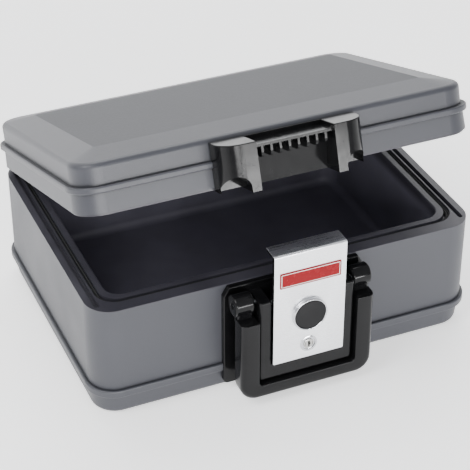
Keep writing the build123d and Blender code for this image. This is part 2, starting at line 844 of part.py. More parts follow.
def make_lid_fill_plugs():
    ceiling = base_height + lid_hollow_depth
    spread = (-plug_spacing / 2, plug_spacing / 2)
    radius = plug_radius * 0.7 - running_gap
    return joined([rod_z(radius, ceiling + 0.3, ceiling + liner_wall, x, 0) for x in spread])


def make_lid_insulation(liner, screws):
    fill = lid_cavity() - prism(0, 0, lid_low + 2.0) - lid_liner_skin()
    for cut in hinge_notches() + lid_screw_rods(part_gap) + lid_plug_rods(plug_radius * 0.7):
        fill -= cut
    return fill - liner - screws


def ear_side(x_sign):
    """One lid ear: a curved front, a leg by the recess and an arch over the handle's hub."""
    y0 = front_wall - ear_front
    back = front_wall
    inner = ear_inner
    outer = ear_outer
    straight = inner + 12.0
    with BuildSketch() as plan:
        with BuildLine():
            Line((inner, back), (inner, y0))
            Line((inner, y0), (straight, y0))
            EllipticalCenterArc((straight, y0 + ear_curve), outer - straight, ear_curve, 270, arc_size=90)
            Line((outer, y0 + ear_curve), (outer, back))
            Line((outer, back), (inner, back))
        make_face()
    low = lid_low - ear_foot_drop
    ear = extrude(Pos(0, 0, low) * plan.sketch, ear_top - low)
    ear = fillet([e for e in level_edges(ear, ear_top) if e.center().Y < back - 1], 0.8)
    arch_x = inner + ear_leg + arch_radius
    top = low + arch_rise
    arch = rod_y(arch_radius, y0 - 1, bezel_room_y(), arch_x, top)
    arch += box(arch_x - arch_radius, arch_x + arch_radius, y0 - 1, bezel_room_y(), low - 1, top)
    ear -= arch
    return ear if x_sign > 0 else mirror(ear, Plane.YZ)


def bezel_room_y():
    return front_wall - lid_bezel_thickness


def side_shape(points):
    """A flat shape in the YZ plane from its corners."""
    return Plane.YZ * make_face(Polyline(*points, close=True))


def thumb_rib_places():
    pitch = 2 * ear_inner / (thumb_rib_count + 0.6)
    return [pitch * (k - (thumb_rib_count - 1) / 2) for k in range(thumb_rib_count)]


def make_lid_bezel():
    """The lid's black front moulding: two ears, a ribbed thumb lip and a recess for the latch."""
    low = lid_low - ear_foot_drop
    high = ear_top
    plate = box(-ear_outer, ear_outer, bezel_room_y(), front_wall, low, high)
    bezel = plate + ear_side(1) + ear_side(-1)
    floor_y = front_wall - recess_forward
    lip_top = high - visor_drop
    lip_y = front_wall - visor_forward
    foot_y = floor_y + recess_slope
    floor = side_shape([(front_wall, low), (foot_y, low), (floor_y, lip_top), (front_wall, lip_top)])
    bezel += extrude(floor, ear_inner, both=True)
    lip = box(-ear_inner, ear_inner, lip_y, floor_y + 0.5, lip_top - visor_thickness, lip_top)
    bezel += lip
    half = thumb_rib_width / 2
    rib_top = lip_top - visor_thickness + 0.2
    tooth = box(-half, half, lip_y + 1, floor_y + 3, rib_top - thumb_rib_drop, rib_top)
    front_low = tooth.edges().filter_by(Axis.X).group_by(Axis.Y)[0].sort_by(Axis.Z)[0]
    tooth = fillet(front_low, thumb_rib_round)
    for x in thumb_rib_places():
        bezel += Pos(x, 0, 0) * tooth
    rib_low = lid_low + lid_rib_rise - part_gap
    rib = rib_band(lid_rib_inset - part_gap, rib_low, lid_rib_height + 2 * part_gap)
    bezel -= rib + prism(0.02, lid_low - 1, lid_wall_top)
    for x, z in lid_bezel_screw_places():
        bezel -= rod_y(screw_radius + fitted_gap, front_wall - lid_screw_reach - 1, front_wall + 6, x, z)
    return bezel


def make_lid_bezel_screws():
    screws = []
    head_y = front_wall + lid_upper_inset + shell_wall
    for x, z in lid_bezel_screw_places():
        shank = rod_y(screw_radius, front_wall - lid_screw_reach, head_y, x, z)
        head = rod_y(screw_head_radius, head_y, head_y + screw_head_height, x, z)
        screws.append(shank + head)
    return joined(screws)


# ---------------------------------------------------------------- build and write


def build_parts():
    base_liner = make_base_liner()
    housing_screws = make_housing_screws()
    lid_liner = make_lid_liner()
    lid_screws = make_lid_bezel_screws()
    closed_lid = {
        "lid_shell": make_lid_shell(),
        "lid_insulation": make_lid_insulation(lid_liner, lid_screws),
        "lid_liner": lid_liner,
        "lid_fill_plugs": make_lid_fill_plugs(),
        "lid_bezel": make_lid_bezel(),
        "lid_bezel_screws": lid_screws,
        "hinge_lid_leaves": make_hinge_lid_leaves(),
        "hinge_lid_screws": leaf_screws(lid_leaf_z()),
    }
    nodes = {
        "base_shell": make_base_shell(),
        "base_insulation": make_base_insulation(base_liner, housing_screws),
        "base_liner": base_liner,
        "rim_seal": make_rim_seal(),
        "base_fill_plugs": make_base_fill_plugs(),
        "front_bezel": make_front_bezel(),
        "latch_housing": make_latch_housing(),
        "housing_screws": housing_screws,
        "lever_pin": make_lever_pin(),
        "lever_spring": make_lever_spring(),
        "handle_pins": make_handle_pins(),
        "carry_handle": make_carry_handle(),
        "latch_lever": make_latch_lever(),
        "face_plate": make_face_plate(),
        "badge": make_badge(),
        "button_ring": make_button_ring(),
        "push_button": make_push_button(),
        "button_clip": make_button_clip(),
        "button_spring": make_button_spring(),
        "lock_barrel": make_lock_barrel(),
        "lock_nut": make_lock_nut(),
        "lock_plug": make_lock_plug(),
        "lock_cam": make_lock_cam(),
        "cam_screw": make_cam_screw(),
        "hinge_base_leaves": make_hinge_base_leaves(),
        "hinge_base_screws": leaf_screws(base_leaf_z()),
        "hinge_pins": make_hinge_pins(),
    }
    for name, shape in closed_lid.items():
        nodes[name] = opened(shape)
    return nodes


if __name__ == "__main__":
    os.makedirs("parts", exist_ok=True)
    for name, shape in build_parts().items():
        export_step(shape, f"parts/{name}.step")
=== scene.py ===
import json
import math

import bmesh
import bpy
from bpy.props import FloatProperty, FloatVectorProperty, PointerProperty
from bpy.types import Operator, Panel, PropertyGroup
from mathutils import Matrix, Vector


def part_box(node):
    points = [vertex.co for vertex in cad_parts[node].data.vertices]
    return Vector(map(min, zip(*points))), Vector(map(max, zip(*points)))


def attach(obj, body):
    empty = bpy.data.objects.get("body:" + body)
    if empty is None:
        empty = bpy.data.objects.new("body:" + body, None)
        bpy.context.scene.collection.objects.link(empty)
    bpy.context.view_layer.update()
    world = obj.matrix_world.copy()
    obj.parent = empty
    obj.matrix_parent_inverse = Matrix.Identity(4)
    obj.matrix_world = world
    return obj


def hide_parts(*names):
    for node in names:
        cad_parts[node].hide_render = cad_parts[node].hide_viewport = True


bl_info = {
    "name": "Fire Chest Finishes",
    "version": (1, 0, 0),
    "blender": (4, 5, 0),
    "location": "3D View > Sidebar > Fire Chest",
    "description": "Builds the visible pieces and the finishes of a fire-resistant document chest",
    "category": "Object",
}

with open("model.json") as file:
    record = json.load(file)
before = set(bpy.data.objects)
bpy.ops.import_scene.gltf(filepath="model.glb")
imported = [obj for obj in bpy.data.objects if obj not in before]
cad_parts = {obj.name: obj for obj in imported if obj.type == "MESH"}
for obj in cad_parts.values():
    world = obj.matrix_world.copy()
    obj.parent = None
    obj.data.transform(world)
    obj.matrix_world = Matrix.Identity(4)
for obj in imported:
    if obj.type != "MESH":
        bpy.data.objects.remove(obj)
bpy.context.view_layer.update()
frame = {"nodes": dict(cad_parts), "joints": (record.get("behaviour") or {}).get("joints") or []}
MM = 0.001
JOINTS = {j["name"]: j for j in frame["joints"]}
TUB_PAINTED_FILL_LIGHT = 3.2  # how much paler the deep tub is painted than its rim, as painted fill light
OPEN_ANGLE = math.radians(-JOINTS["lid_hinge"]["range_deg"][0])


def linear(hex_colour):
    """An sRGB hex colour as linear red, green and blue."""
    out = []
    for i in (1, 3, 5):
        c = int(hex_colour[i:i + 2], 16) / 255
        out.append(c / 12.92 if c <= 0.04045 else ((c + 0.055) / 1.055) ** 2.4)
    return out


def rgba(colour, share=1.0):
    """A colour property as four numbers, lighter or darker by a share."""
    return (*[min(1.0, c * share) for c in colour], 1.0)


# ---------------------------------------------------------------- sizes and colours


def colour_property(name, hex_colour, description):
    return FloatVectorProperty(
        name=name, description=description, default=linear(hex_colour),
        subtype="COLOR", min=0, max=1, size=3)


def size_property(name, millimetres, description):
    return FloatProperty(
        name=name, description=description, default=millimetres * MM,
        min=0, unit="LENGTH", subtype="DISTANCE", precision=4)


class ChestColours(PropertyGroup):
    shell: colour_property("Shell", "#323339", "Grey moulded shell of the base and the lid")
    lining: colour_property("Lining", "#34333a", "Tub, rim and lid lining")
    trim: colour_property("Trim", "#0e0e0f", "Polished black front mouldings and handle")
    button: colour_property("Button", "#09090b", "Matt face of the push button")
    plate: colour_property("Face plate", "#f4f5f8", "Satin sheet over the latch")
    badge: colour_property("Badge", "#78000a", "Enamel of the plain badge")
    badge_line: colour_property("Badge line", "#ece9e6", "Thin line inside the badge's edge")
    rubber: colour_property("Rubber", "#131313", "Seal in the rim's groove")
    cement: colour_property("Fill", "#bdb8ab", "Cast fire-resistant fill")
    floor: colour_property("Floor", "#f6f6f6", "Studio floor")


class ChestSizes(PropertyGroup):
    sheet: size_property("Plate sheet", 1.2, "Thickness of the face plate")
    plate_bend: size_property("Plate bend", 2.0, "Outer radius of the face plate's fold")
    badge_line: size_property("Badge line", 0.5, "Width of the line inside the badge's edge")
    button_dish: size_property("Button dish", 0.9, "Depth of the button's hollow face")
    handle_round: size_property("Handle round", 5.5, "Radius of the handle's outer front edge")
    grain: size_property("Shell grain", 0.9, "Size of the moulded grain on the shell")


def colours():
    return bpy.context.scene.chest_colours


def sizes():
    return bpy.context.scene.chest_sizes


# ---------------------------------------------------------------- materials


def add(tree, kind, inputs=None, **settings):
    """Adds one node, sets its settings, and sets or links its inputs; a node given as an input
    is linked from its first output in use."""
    node = tree.nodes.new(kind)
    for name, value in settings.items():
        setattr(node, name, value)
    for name, value in (inputs or {}).items():
        if isinstance(value, bpy.types.Node):
            value = next(output for output in value.outputs if output.enabled)
        if isinstance(value, bpy.types.NodeSocket):
            tree.links.new(value, node.inputs[name])
        else:
            node.inputs[name].default_value = value
    return node


def new_material(name):
    """An empty material, and its node tree."""
    material = bpy.data.materials.new(name)
    material.use_nodes = True
    material.node_tree.nodes.clear()
    return material, material.node_tree


def moulded_abs_grey(name, panel_normal=None):
    """Injection-moulded ABS with a spark-eroded grain: a soft satin sheen that breaks up over the grain.
    Painted shade darkens the creases beside the ribs, and the lid's flat middle panel has a coarser pebble
    grain, with painted shade in the pebbles' hollows.
    The grain is drawn at 0.9 mm and the pebble at 2.2 mm, about twice the real ones, so that they show."""
    shell = colours().shell
    material, tree = new_material(name)
    place = add(tree, "ShaderNodeTexCoord")
    at = place.outputs["Object"]
    grain = add(tree, "ShaderNodeTexNoise", {
        "Vector": at, "Scale": 1 / sizes().grain, "Detail": 3.0, "Roughness": 0.6})
    cloud = add(tree, "ShaderNodeTexNoise", {"Vector": at, "Scale": 1 / (60 * MM)})
    share = add(tree, "ShaderNodeMapRange", {"Value": cloud, "From Min": 0.3, "From Max": 0.7})
    tone = add(tree, "ShaderNodeMix", {
        "Factor": share, "A": rgba(shell, 0.95), "B": rgba(shell, 1.05)}, data_type="RGBA")
    # painted shade: ambient occlusion darkens the shell's colour in the creases beside the ribs
    open_air = add(tree, "ShaderNodeAmbientOcclusion", {"Distance": 5 * MM}, samples=8, only_local=True)
    painted_crease_shade = add(tree, "ShaderNodeMapRange", {
        "Value": open_air.outputs["AO"], "From Min": 0.35, "From Max": 0.85, "To Min": 0.3, "To Max": 1.0})
    tone = add(tree, "ShaderNodeMix", {"Factor": 1.0, "A": tone, "B": painted_crease_shade},
               data_type="RGBA", blend_type="MULTIPLY")
    rough = add(tree, "ShaderNodeMapRange", {
        "Value": cloud, "From Min": 0.3, "From Max": 0.7, "To Min": 0.42, "To Max": 0.5})
    height = grain
    if panel_normal is not None:
        facing = add(tree, "ShaderNodeVectorMath", {0: place.outputs["Normal"], 1: panel_normal},
                     operation="DOT_PRODUCT")
        flat = add(tree, "ShaderNodeMapRange", {"Value": facing, "From Min": 0.9955, "From Max": 0.9985})
        pebble = add(tree, "ShaderNodeTexVoronoi", {"Vector": at, "Scale": 1 / (2.2 * MM)},
                     feature="SMOOTH_F1")
        height = add(tree, "ShaderNodeMix", {"Factor": flat, "A": grain, "B": pebble}, data_type="FLOAT")
        rough = add(tree, "ShaderNodeMapRange", {"Value": flat, "To Min": 0.42, "To Max": 0.6})
        # painted shade: the pebbles' hollows are painted darker, which also darkens the flat panel as a
        # whole
        painted_pebble_shade = add(tree, "ShaderNodeMapRange", {
            "Value": pebble, "From Min": 0.1, "From Max": 0.7, "To Min": 0.66, "To Max": 0.9})
        tone = add(tree, "ShaderNodeMix", {"Factor": flat, "A": tone, "B": painted_pebble_shade},
                   data_type="RGBA", blend_type="MULTIPLY")
    bump = add(tree, "ShaderNodeBump", {"Height": height, "Distance": 0.25 * MM, "Strength": 0.5})
    shader = add(tree, "ShaderNodeBsdfPrincipled", {
        "Base Color": tone, "Roughness": rough, "Normal": bump, "IOR": 1.53})
    add(tree, "ShaderNodeOutputMaterial", {"Surface": shader})
    return material


def moulded_polypropylene_black():
    """Injection-moulded polypropylene with a fine matt grain: dark, with a faint cold sheen.
    From 6 mm below its rim the tub is painted paler, fully so at 14 mm and deeper, as painted fill light;
    the rim keeps its plain colour."""
    lining = colours().lining
    material, tree = new_material("moulded_polypropylene_black")
    at = add(tree, "ShaderNodeTexCoord").outputs["Object"]
    cloud = add(tree, "ShaderNodeTexNoise", {"Vector": at, "Scale": 1 / (45 * MM)})
    share = add(tree, "ShaderNodeMapRange", {"Value": cloud, "From Min": 0.3, "From Max": 0.7})
    tone = add(tree, "ShaderNodeMix", {
        "Factor": share, "A": rgba(lining, 0.85), "B": rgba(lining, 1.15)}, data_type="RGBA")
    height = add(tree, "ShaderNodeSeparateXYZ", {"Vector": at})
    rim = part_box("base_liner")[1].z
    # painted fill light: the tub more than 6 mm below the rim is painted paler
    dust_and_painted_fill_light = add(tree, "ShaderNodeMapRange", {
        "Value": height.outputs["Z"], "From Min": rim - 14 * MM, "From Max": rim - 6 * MM,
        "To Min": TUB_PAINTED_FILL_LIGHT, "To Max": 1.0})
    tone = add(tree, "ShaderNodeMix", {"Factor": 1.0, "A": tone, "B": dust_and_painted_fill_light},
               data_type="RGBA", blend_type="MULTIPLY", clamp_result=False)
    rough = add(tree, "ShaderNodeMapRange", {
        "Value": cloud, "From Min": 0.3, "From Max": 0.7, "To Min": 0.36, "To Max": 0.48})
    grain = add(tree, "ShaderNodeTexNoise", {"Vector": at, "Scale": 1 / (0.8 * MM)})
    bump = add(tree, "ShaderNodeBump", {"Height": grain, "Distance": 0.12 * MM, "Strength": 0.5})
    shader = add(tree, "ShaderNodeBsdfPrincipled", {
        "Base Color": tone, "Roughness": rough, "Normal": bump, "IOR": 1.49})
    add(tree, "ShaderNodeOutputMaterial", {"Surface": shader})
    return material


def polished_abs_black():
    """ABS from a polished mould: deep black with clear reflections, slightly wavy where the wall shrank."""
    trim = colours().trim
    material, tree = new_material("polished_abs_black")
    at = add(tree, "ShaderNodeTexCoord").outputs["Object"]
    wear = add(tree, "ShaderNodeTexNoise", {
        "Vector": at, "Scale": 1 / (14 * MM), "Detail": 4.0, "Roughness": 0.65})
    share = add(tree, "ShaderNodeMapRange", {"Value": wear, "From Min": 0.3, "From Max": 0.7})
    tone = add(tree, "ShaderNodeMix", {
        "Factor": share, "A": rgba(trim, 0.8), "B": rgba(trim, 1.3)}, data_type="RGBA")
    rough = add(tree, "ShaderNodeMapRange", {
        "Value": wear, "From Min": 0.3, "From Max": 0.7, "To Min": 0.11, "To Max": 0.2})
    wave = add(tree, "ShaderNodeTexNoise", {"Vector": at, "Scale": 1 / (22 * MM), "Detail": 1.0})
    bump = add(tree, "ShaderNodeBump", {"Height": wave, "Distance": 0.25 * MM, "Strength": 0.35})
    shader = add(tree, "ShaderNodeBsdfPrincipled", {
        "Base Color": tone, "Roughness": rough, "Normal": bump, "IOR": 1.53, "Specular IOR Level": 0.18})
    add(tree, "ShaderNodeOutputMaterial", {"Surface": shader})
    return material


def matt_abs_black():
    """ABS with a fine matt mould finish, rubbed a little smoother in the middle by thumbs."""
    button = colours().button
    material, tree = new_material("matt_abs_black")
    at = add(tree, "ShaderNodeTexCoord").outputs["Object"]
    grain = add(tree, "ShaderNodeTexNoise", {"Vector": at, "Scale": 1 / (0.7 * MM), "Detail": 3.0})
    share = add(tree, "ShaderNodeMapRange", {"Value": grain, "From Min": 0.3, "From Max": 0.7})
    tone = add(tree, "ShaderNodeMix", {
        "Factor": share, "A": rgba(button, 0.8), "B": rgba(button, 1.25)}, data_type="RGBA")
    rub = add(tree, "ShaderNodeTexNoise", {"Vector": at, "Scale": 1 / (9 * MM)})
    rough = add(tree, "ShaderNodeMapRange", {
        "Value": rub, "From Min": 0.3, "From Max": 0.7, "To Min": 0.4, "To Max": 0.55})
    bump = add(tree, "ShaderNodeBump", {"Height": grain, "Distance": 0.08 * MM, "Strength": 0.6})
    shader = add(tree, "ShaderNodeBsdfPrincipled", {
        "Base Color": tone, "Roughness": rough, "Normal": bump, "IOR": 1.53, "Specular IOR Level": 0.2})
    add(tree, "ShaderNodeOutputMaterial", {"Surface": shader})
    return material


def satin_anodised_aluminium():
    """Aluminium sheet, brushed across and satin anodised: a pale even metal with a soft sideways streak.
    The brushing is drawn 0.5 mm wide, coarser than the real 0.1 mm, so that it shows."""
    plate = colours().plate
    material, tree = new_material("satin_anodised_aluminium")
    at = add(tree, "ShaderNodeTexCoord").outputs["Object"]
    stretch = add(tree, "ShaderNodeMapping", {"Vector": at, "Scale": (0.02, 1.0, 1.0)})
    streak = add(tree, "ShaderNodeTexNoise", {
        "Vector": stretch, "Scale": 1 / (0.5 * MM), "Detail": 3.0, "Roughness": 0.6})
    share = add(tree, "ShaderNodeMapRange", {"Value": streak, "From Min": 0.3, "From Max": 0.7})
    tone = add(tree, "ShaderNodeMix", {
        "Factor": share, "A": rgba(plate, 0.96), "B": rgba(plate, 1.03)}, data_type="RGBA")
    rough = add(tree, "ShaderNodeMapRange", {
        "Value": streak, "From Min": 0.3, "From Max": 0.7, "To Min": 0.24, "To Max": 0.34})
    bump = add(tree, "ShaderNodeBump", {"Height": streak, "Distance": 0.02 * MM, "Strength": 0.35})
    shader = add(tree, "ShaderNodeBsdfPrincipled", {
        "Base Color": tone, "Roughness": rough, "Normal": bump, "Metallic": 1.0})
    add(tree, "ShaderNodeOutputMaterial", {"Surface": shader})
    return material


def stove_enamel(name, colour):
    """Stove enamel on a thin metal label: a deep even colour with a low gloss."""
    material, tree = new_material(name)
    at = add(tree, "ShaderNodeTexCoord").outputs["Object"]
    flow = add(tree, "ShaderNodeTexNoise", {"Vector": at, "Scale": 1 / (6 * MM)})
    share = add(tree, "ShaderNodeMapRange", {"Value": flow, "From Min": 0.3, "From Max": 0.7})
    tone = add(tree, "ShaderNodeMix", {
        "Factor": share, "A": rgba(colour, 0.95), "B": rgba(colour, 1.05)}, data_type="RGBA")
    rough = add(tree, "ShaderNodeMapRange", {
        "Value": flow, "From Min": 0.3, "From Max": 0.7, "To Min": 0.22, "To Max": 0.3})
    bump = add(tree, "ShaderNodeBump", {"Height": flow, "Distance": 0.03 * MM, "Strength": 0.3})
    shader = add(tree, "ShaderNodeBsdfPrincipled", {
        "Base Color": tone, "Roughness": rough, "Normal": bump, "IOR": 1.5, "Specular IOR Level": 0.2})
    add(tree, "ShaderNodeOutputMaterial", {"Surface": shader})
    return material


def polished_chromium():
    """Chromium plate on polished zinc: a hard mirror with faint wear marks."""
    chrome = linear("#c9cacd")
    material, tree = new_material("polished_chromium")
    at = add(tree, "ShaderNodeTexCoord").outputs["Object"]
    wear = add(tree, "ShaderNodeTexNoise", {
        "Vector": at, "Scale": 1 / (3 * MM), "Detail": 4.0, "Roughness": 0.7})
    share = add(tree, "ShaderNodeMapRange", {"Value": wear, "From Min": 0.3, "From Max": 0.7})
    tone = add(tree, "ShaderNodeMix", {
        "Factor": share, "A": rgba(chrome, 0.92), "B": rgba(chrome, 1.04)}, data_type="RGBA")
    rough = add(tree, "ShaderNodeMapRange", {
        "Value": wear, "From Min": 0.3, "From Max": 0.7, "To Min": 0.06, "To Max": 0.16})
    shader = add(tree, "ShaderNodeBsdfPrincipled", {
        "Base Color": tone, "Roughness": rough, "Metallic": 1.0})
    add(tree, "ShaderNodeOutputMaterial", {"Surface": shader})
    return material


def turned_steel(name, axis_z):
    """Nickel-plated steel faced on a lathe: fine rings that catch the light as two fans.
    The rings are drawn 0.5 mm apart, coarser than the real feed, so that they show."""
    steel = linear("#b9b8b5")
    material, tree = new_material(name)
    at = add(tree, "ShaderNodeTexCoord").outputs["Object"]
    centre = add(tree, "ShaderNodeMapping", {
        "Vector": at, "Location": (0.0, 0.0, -axis_z), "Scale": (1.0, 0.0, 1.0)})
    away = add(tree, "ShaderNodeVectorMath", {0: centre}, operation="LENGTH")
    turns = add(tree, "ShaderNodeMath", {0: away, 1: 2 * math.pi / (0.5 * MM)}, operation="MULTIPLY")
    ring = add(tree, "ShaderNodeMath", {0: turns}, operation="SINE")
    share = add(tree, "ShaderNodeMapRange", {"Value": ring, "From Min": -1.0, "From Max": 1.0})
    tone = add(tree, "ShaderNodeMix", {
        "Factor": share, "A": rgba(steel, 0.85), "B": rgba(steel, 1.05)}, data_type="RGBA")
    rough = add(tree, "ShaderNodeMapRange", {
        "Value": ring, "From Min": -1.0, "From Max": 1.0, "To Min": 0.2, "To Max": 0.34})
    shader = add(tree, "ShaderNodeBsdfPrincipled", {
        "Base Color": tone, "Roughness": rough, "Metallic": 1.0})
    add(tree, "ShaderNodeOutputMaterial", {"Surface": shader})
    return material


def zinc_plated_steel():
    """Zinc-plated steel with a clear passivation: cool grey, with the blotches of the plating bath."""
    zinc = linear("#aeb1b6")
    material, tree = new_material("zinc_plated_steel")
    at = add(tree, "ShaderNodeTexCoord").outputs["Object"]
    patch = add(tree, "ShaderNodeTexVoronoi", {"Vector": at, "Scale": 1 / (2.5 * MM)})
    tone = add(tree, "ShaderNodeMix", {
        "Factor": patch, "A": rgba(zinc, 0.85), "B": rgba(zinc, 1.1)}, data_type="RGBA")
    rough = add(tree, "ShaderNodeMapRange", {"Value": patch, "To Min": 0.28, "To Max": 0.42})
    grain = add(tree, "ShaderNodeTexNoise", {"Vector": at, "Scale": 1 / (0.6 * MM)})
    bump = add(tree, "ShaderNodeBump", {"Height": grain, "Distance": 0.03 * MM, "Strength": 0.4})
    shader = add(tree, "ShaderNodeBsdfPrincipled", {
        "Base Color": tone, "Roughness": rough, "Normal": bump, "Metallic": 1.0})
    add(tree, "ShaderNodeOutputMaterial", {"Surface": shader})
    return material


def drawn_spring_wire():
    """Oil-tempered spring wire: dark blue-grey steel with fine draw marks along it."""
    wire = linear("#7b7d83")
    material, tree = new_material("drawn_spring_wire")
    at = add(tree, "ShaderNodeTexCoord").outputs["Object"]
    mark = add(tree, "ShaderNodeTexNoise", {"Vector": at, "Scale": 1 / (0.5 * MM), "Detail": 3.0})
    share = add(tree, "ShaderNodeMapRange", {"Value": mark, "From Min": 0.3, "From Max": 0.7})
    tone = add(tree, "ShaderNodeMix", {
        "Factor": share, "A": rgba(wire, 0.8), "B": rgba(wire, 1.15)}, data_type="RGBA")
    rough = add(tree, "ShaderNodeMapRange", {
        "Value": mark, "From Min": 0.3, "From Max": 0.7, "To Min": 0.25, "To Max": 0.4})
    shader = add(tree, "ShaderNodeBsdfPrincipled", {
        "Base Color": tone, "Roughness": rough, "Metallic": 1.0})
    add(tree, "ShaderNodeOutputMaterial", {"Surface": shader})
    return material


def extruded_rubber():
    """Extruded rubber with a dusting of talc: matt, with paler specks."""
    rubber = colours().rubber
    material, tree = new_material("extruded_rubber")
    at = add(tree, "ShaderNodeTexCoord").outputs["Object"]
    dust_and_painted_fill_light = add(tree, "ShaderNodeTexNoise", {
        "Vector": at, "Scale": 1 / (1.2 * MM), "Detail": 4.0, "Roughness": 0.7})
    share = add(tree, "ShaderNodeMapRange", {"Value": dust_and_painted_fill_light, "From Min": 0.5, "From Max": 0.8})
    tone = add(tree, "ShaderNodeMix", {
        "Factor": share, "A": rgba(rubber), "B": rgba(rubber, 2.4)}, data_type="RGBA")
    rough = add(tree, "ShaderNodeMapRange", {
        "Value": dust_and_painted_fill_light, "From Min": 0.3, "From Max": 0.7, "To Min": 0.65, "To Max": 0.85})
    bump = add(tree, "ShaderNodeBump", {"Height": dust_and_painted_fill_light, "Distance": 0.06 * MM, "Strength": 0.4})
    shader = add(tree, "ShaderNodeBsdfPrincipled", {
        "Base Color": tone, "Roughness": rough, "Normal": bump, "IOR": 1.52})
    add(tree, "ShaderNodeOutputMaterial", {"Surface": shader})
    return material


def cast_cement_fill():
    """Light cement cast between the walls: chalky, with small air holes and sandy flecks."""
    cement = colours().cement
    material, tree = new_material("cast_cement_fill")
    at = add(tree, "ShaderNodeTexCoord").outputs["Object"]
    fleck = add(tree, "ShaderNodeTexNoise", {
        "Vector": at, "Scale": 1 / (2.5 * MM), "Detail": 4.0, "Roughness": 0.7})
    share = add(tree, "ShaderNodeMapRange", {"Value": fleck, "From Min": 0.3, "From Max": 0.7})
    tone = add(tree, "ShaderNodeMix", {
        "Factor": share, "A": rgba(cement, 0.8), "B": rgba(cement, 1.08)}, data_type="RGBA")
    holes = add(tree, "ShaderNodeTexVoronoi", {"Vector": at, "Scale": 1 / (3.5 * MM)})
    pits = add(tree, "ShaderNodeMapRange", {"Value": holes, "From Max": 0.3})
    bump = add(tree, "ShaderNodeBump", {"Height": pits, "Distance": 0.6 * MM, "Strength": 0.6})
    shader = add(tree, "ShaderNodeBsdfPrincipled", {
        "Base Color": tone, "Roughness": 0.92, "Normal": bump, "IOR": 1.5})
    add(tree, "ShaderNodeOutputMaterial", {"Surface": shader})
    return material


def studio_paper():
    """Pale seamless studio paper, matt and even, lit through from below like a light table."""
    floor = colours().floor
    material, tree = new_material("studio_paper")
    at = add(tree, "ShaderNodeTexCoord").outputs["Object"]
    cloud = add(tree, "ShaderNodeTexNoise", {"Vector": at, "Scale": 2.5})
    tone = add(tree, "ShaderNodeMix", {
        "Factor": cloud, "A": rgba(floor, 0.99), "B": rgba(floor)}, data_type="RGBA")
    shader = add(tree, "ShaderNodeBsdfPrincipled", {
        "Base Color": tone, "Roughness": 0.9, "IOR": 1.4,
        "Emission Color": (1.0, 1.0, 1.0, 1.0), "Emission Strength": 0.85})
    add(tree, "ShaderNodeOutputMaterial", {"Surface": shader})
    return material


def finish_nodes(material, *nodes):
    """Gives CAD pieces a finish."""
    for name in nodes:
        slots = frame["nodes"][name].data.materials
        slots.clear()
        slots.append(material)


# ---------------------------------------------------------------- mesh helpers


def piece_from(name, mesh, material, body, slot_name, *replaced):
    """A finished piece that stands for CAD nodes and moves with their body."""
    piece = bpy.data.objects.new(name, mesh)
    bpy.context.scene.collection.objects.link(piece)
    piece.data.materials.append(material)
    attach(piece, body)
    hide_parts(*replaced)
    return piece


def mesh_from(bm, name, smooth_angle=35):
    """Turns a bmesh into a mesh that is smooth up to an angle. A lathe profile that runs along its own
    axis leaves loose edges there, which go, because a cut needs a closed skin without loose edges."""
    bmesh.ops.remove_doubles(bm, verts=bm.verts, dist=1e-6)
    bmesh.ops.delete(bm, geom=[edge for edge in bm.edges if edge.is_wire], context="EDGES")
    bmesh.ops.recalc_face_normals(bm, faces=bm.faces)
    mesh = bpy.data.meshes.new(name)
    bm.to_mesh(mesh)
    bm.free()
    mesh.shade_smooth()
    mesh.set_sharp_from_angle(angle=math.radians(smooth_angle))
    return mesh


def join_rings(bm, near, far):
    """Faces between two rings with the same number of points."""
    for i in range(len(near)):
        j = (i + 1) % len(near)
        bm.faces.new((near[i], near[j], far[j], far[i]))


def lathe(bm, profile, matrix, steps=96):
    """Turns a closed profile of (along, radius) points about an axis; matrix puts +X on that axis."""
    rings = []
    for k in range(steps):
        a = 2 * math.pi * k / steps
        rings.append([bm.verts.new(matrix @ Vector((x, r * math.cos(a), r * math.sin(a))))
                      for x, r in profile])
    for k in range(steps):
        join_rings(bm, rings[k], rings[(k + 1) % steps])


def cut_and_soften(bm, cutter, name, edge):
    """Cuts one closed mesh out of another and rounds the edges that are left."""
    keep = bpy.data.objects.new(name, mesh_from(bm, name))
    away = bpy.data.objects.new(name + "_cutter", mesh_from(cutter, name + "_cutter"))
    for piece in (keep, away):
        bpy.context.scene.collection.objects.link(piece)
    cut = keep.modifiers.new("holes", "BOOLEAN")
    cut.operation = "DIFFERENCE"
    cut.solver = "EXACT"
    cut.use_self = True
    cut.object = away
    soft = keep.modifiers.new("edges", "BEVEL")
    soft.width = edge
    soft.segments = 3
    soft.limit_method = "ANGLE"
    soft.angle_limit = math.radians(50)
    depsgraph = bpy.context.evaluated_depsgraph_get()
    mesh = bpy.data.meshes.new_from_object(keep.evaluated_get(depsgraph))
    if not mesh.polygons:
        raise RuntimeError(name + " was cut away completely")
    for piece in (keep, away):
        bpy.data.objects.remove(piece)
    mesh.name = name
    mesh.shade_smooth()
    mesh.set_sharp_from_angle(angle=math.radians(35))
    return mesh


def arc(centre, radius, start, end, steps):
    """Points of an arc, its angles in degrees."""
    points = []
    for k in range(steps + 1):
        a = math.radians(start + (end - start) * k / steps)
        points.append((centre[0] + radius * math.cos(a), centre[1] + radius * math.sin(a)))
    return points


def facing_front(x, y, z):
    """Puts a lathe's axis along +Y, through a point."""
    return Matrix.Translation((x, y, z)) @ Matrix.Rotation(math.pi / 2, 4, "Z")


def rounded_rectangle(half_w, low, high, radius, steps=6):
    """Corner points of a rounded rectangle in (x, z), anticlockwise from the lower right."""
    points = []
    for cx, cz, start in ((half_w - radius, low + radius, -90), (half_w - radius, high - radius, 0),
                          (-half_w + radius, high - radius, 90), (-half_w + radius, low + radius, 180)):
        points += arc((cx, cz), radius, start, start + 90, steps)
    return points


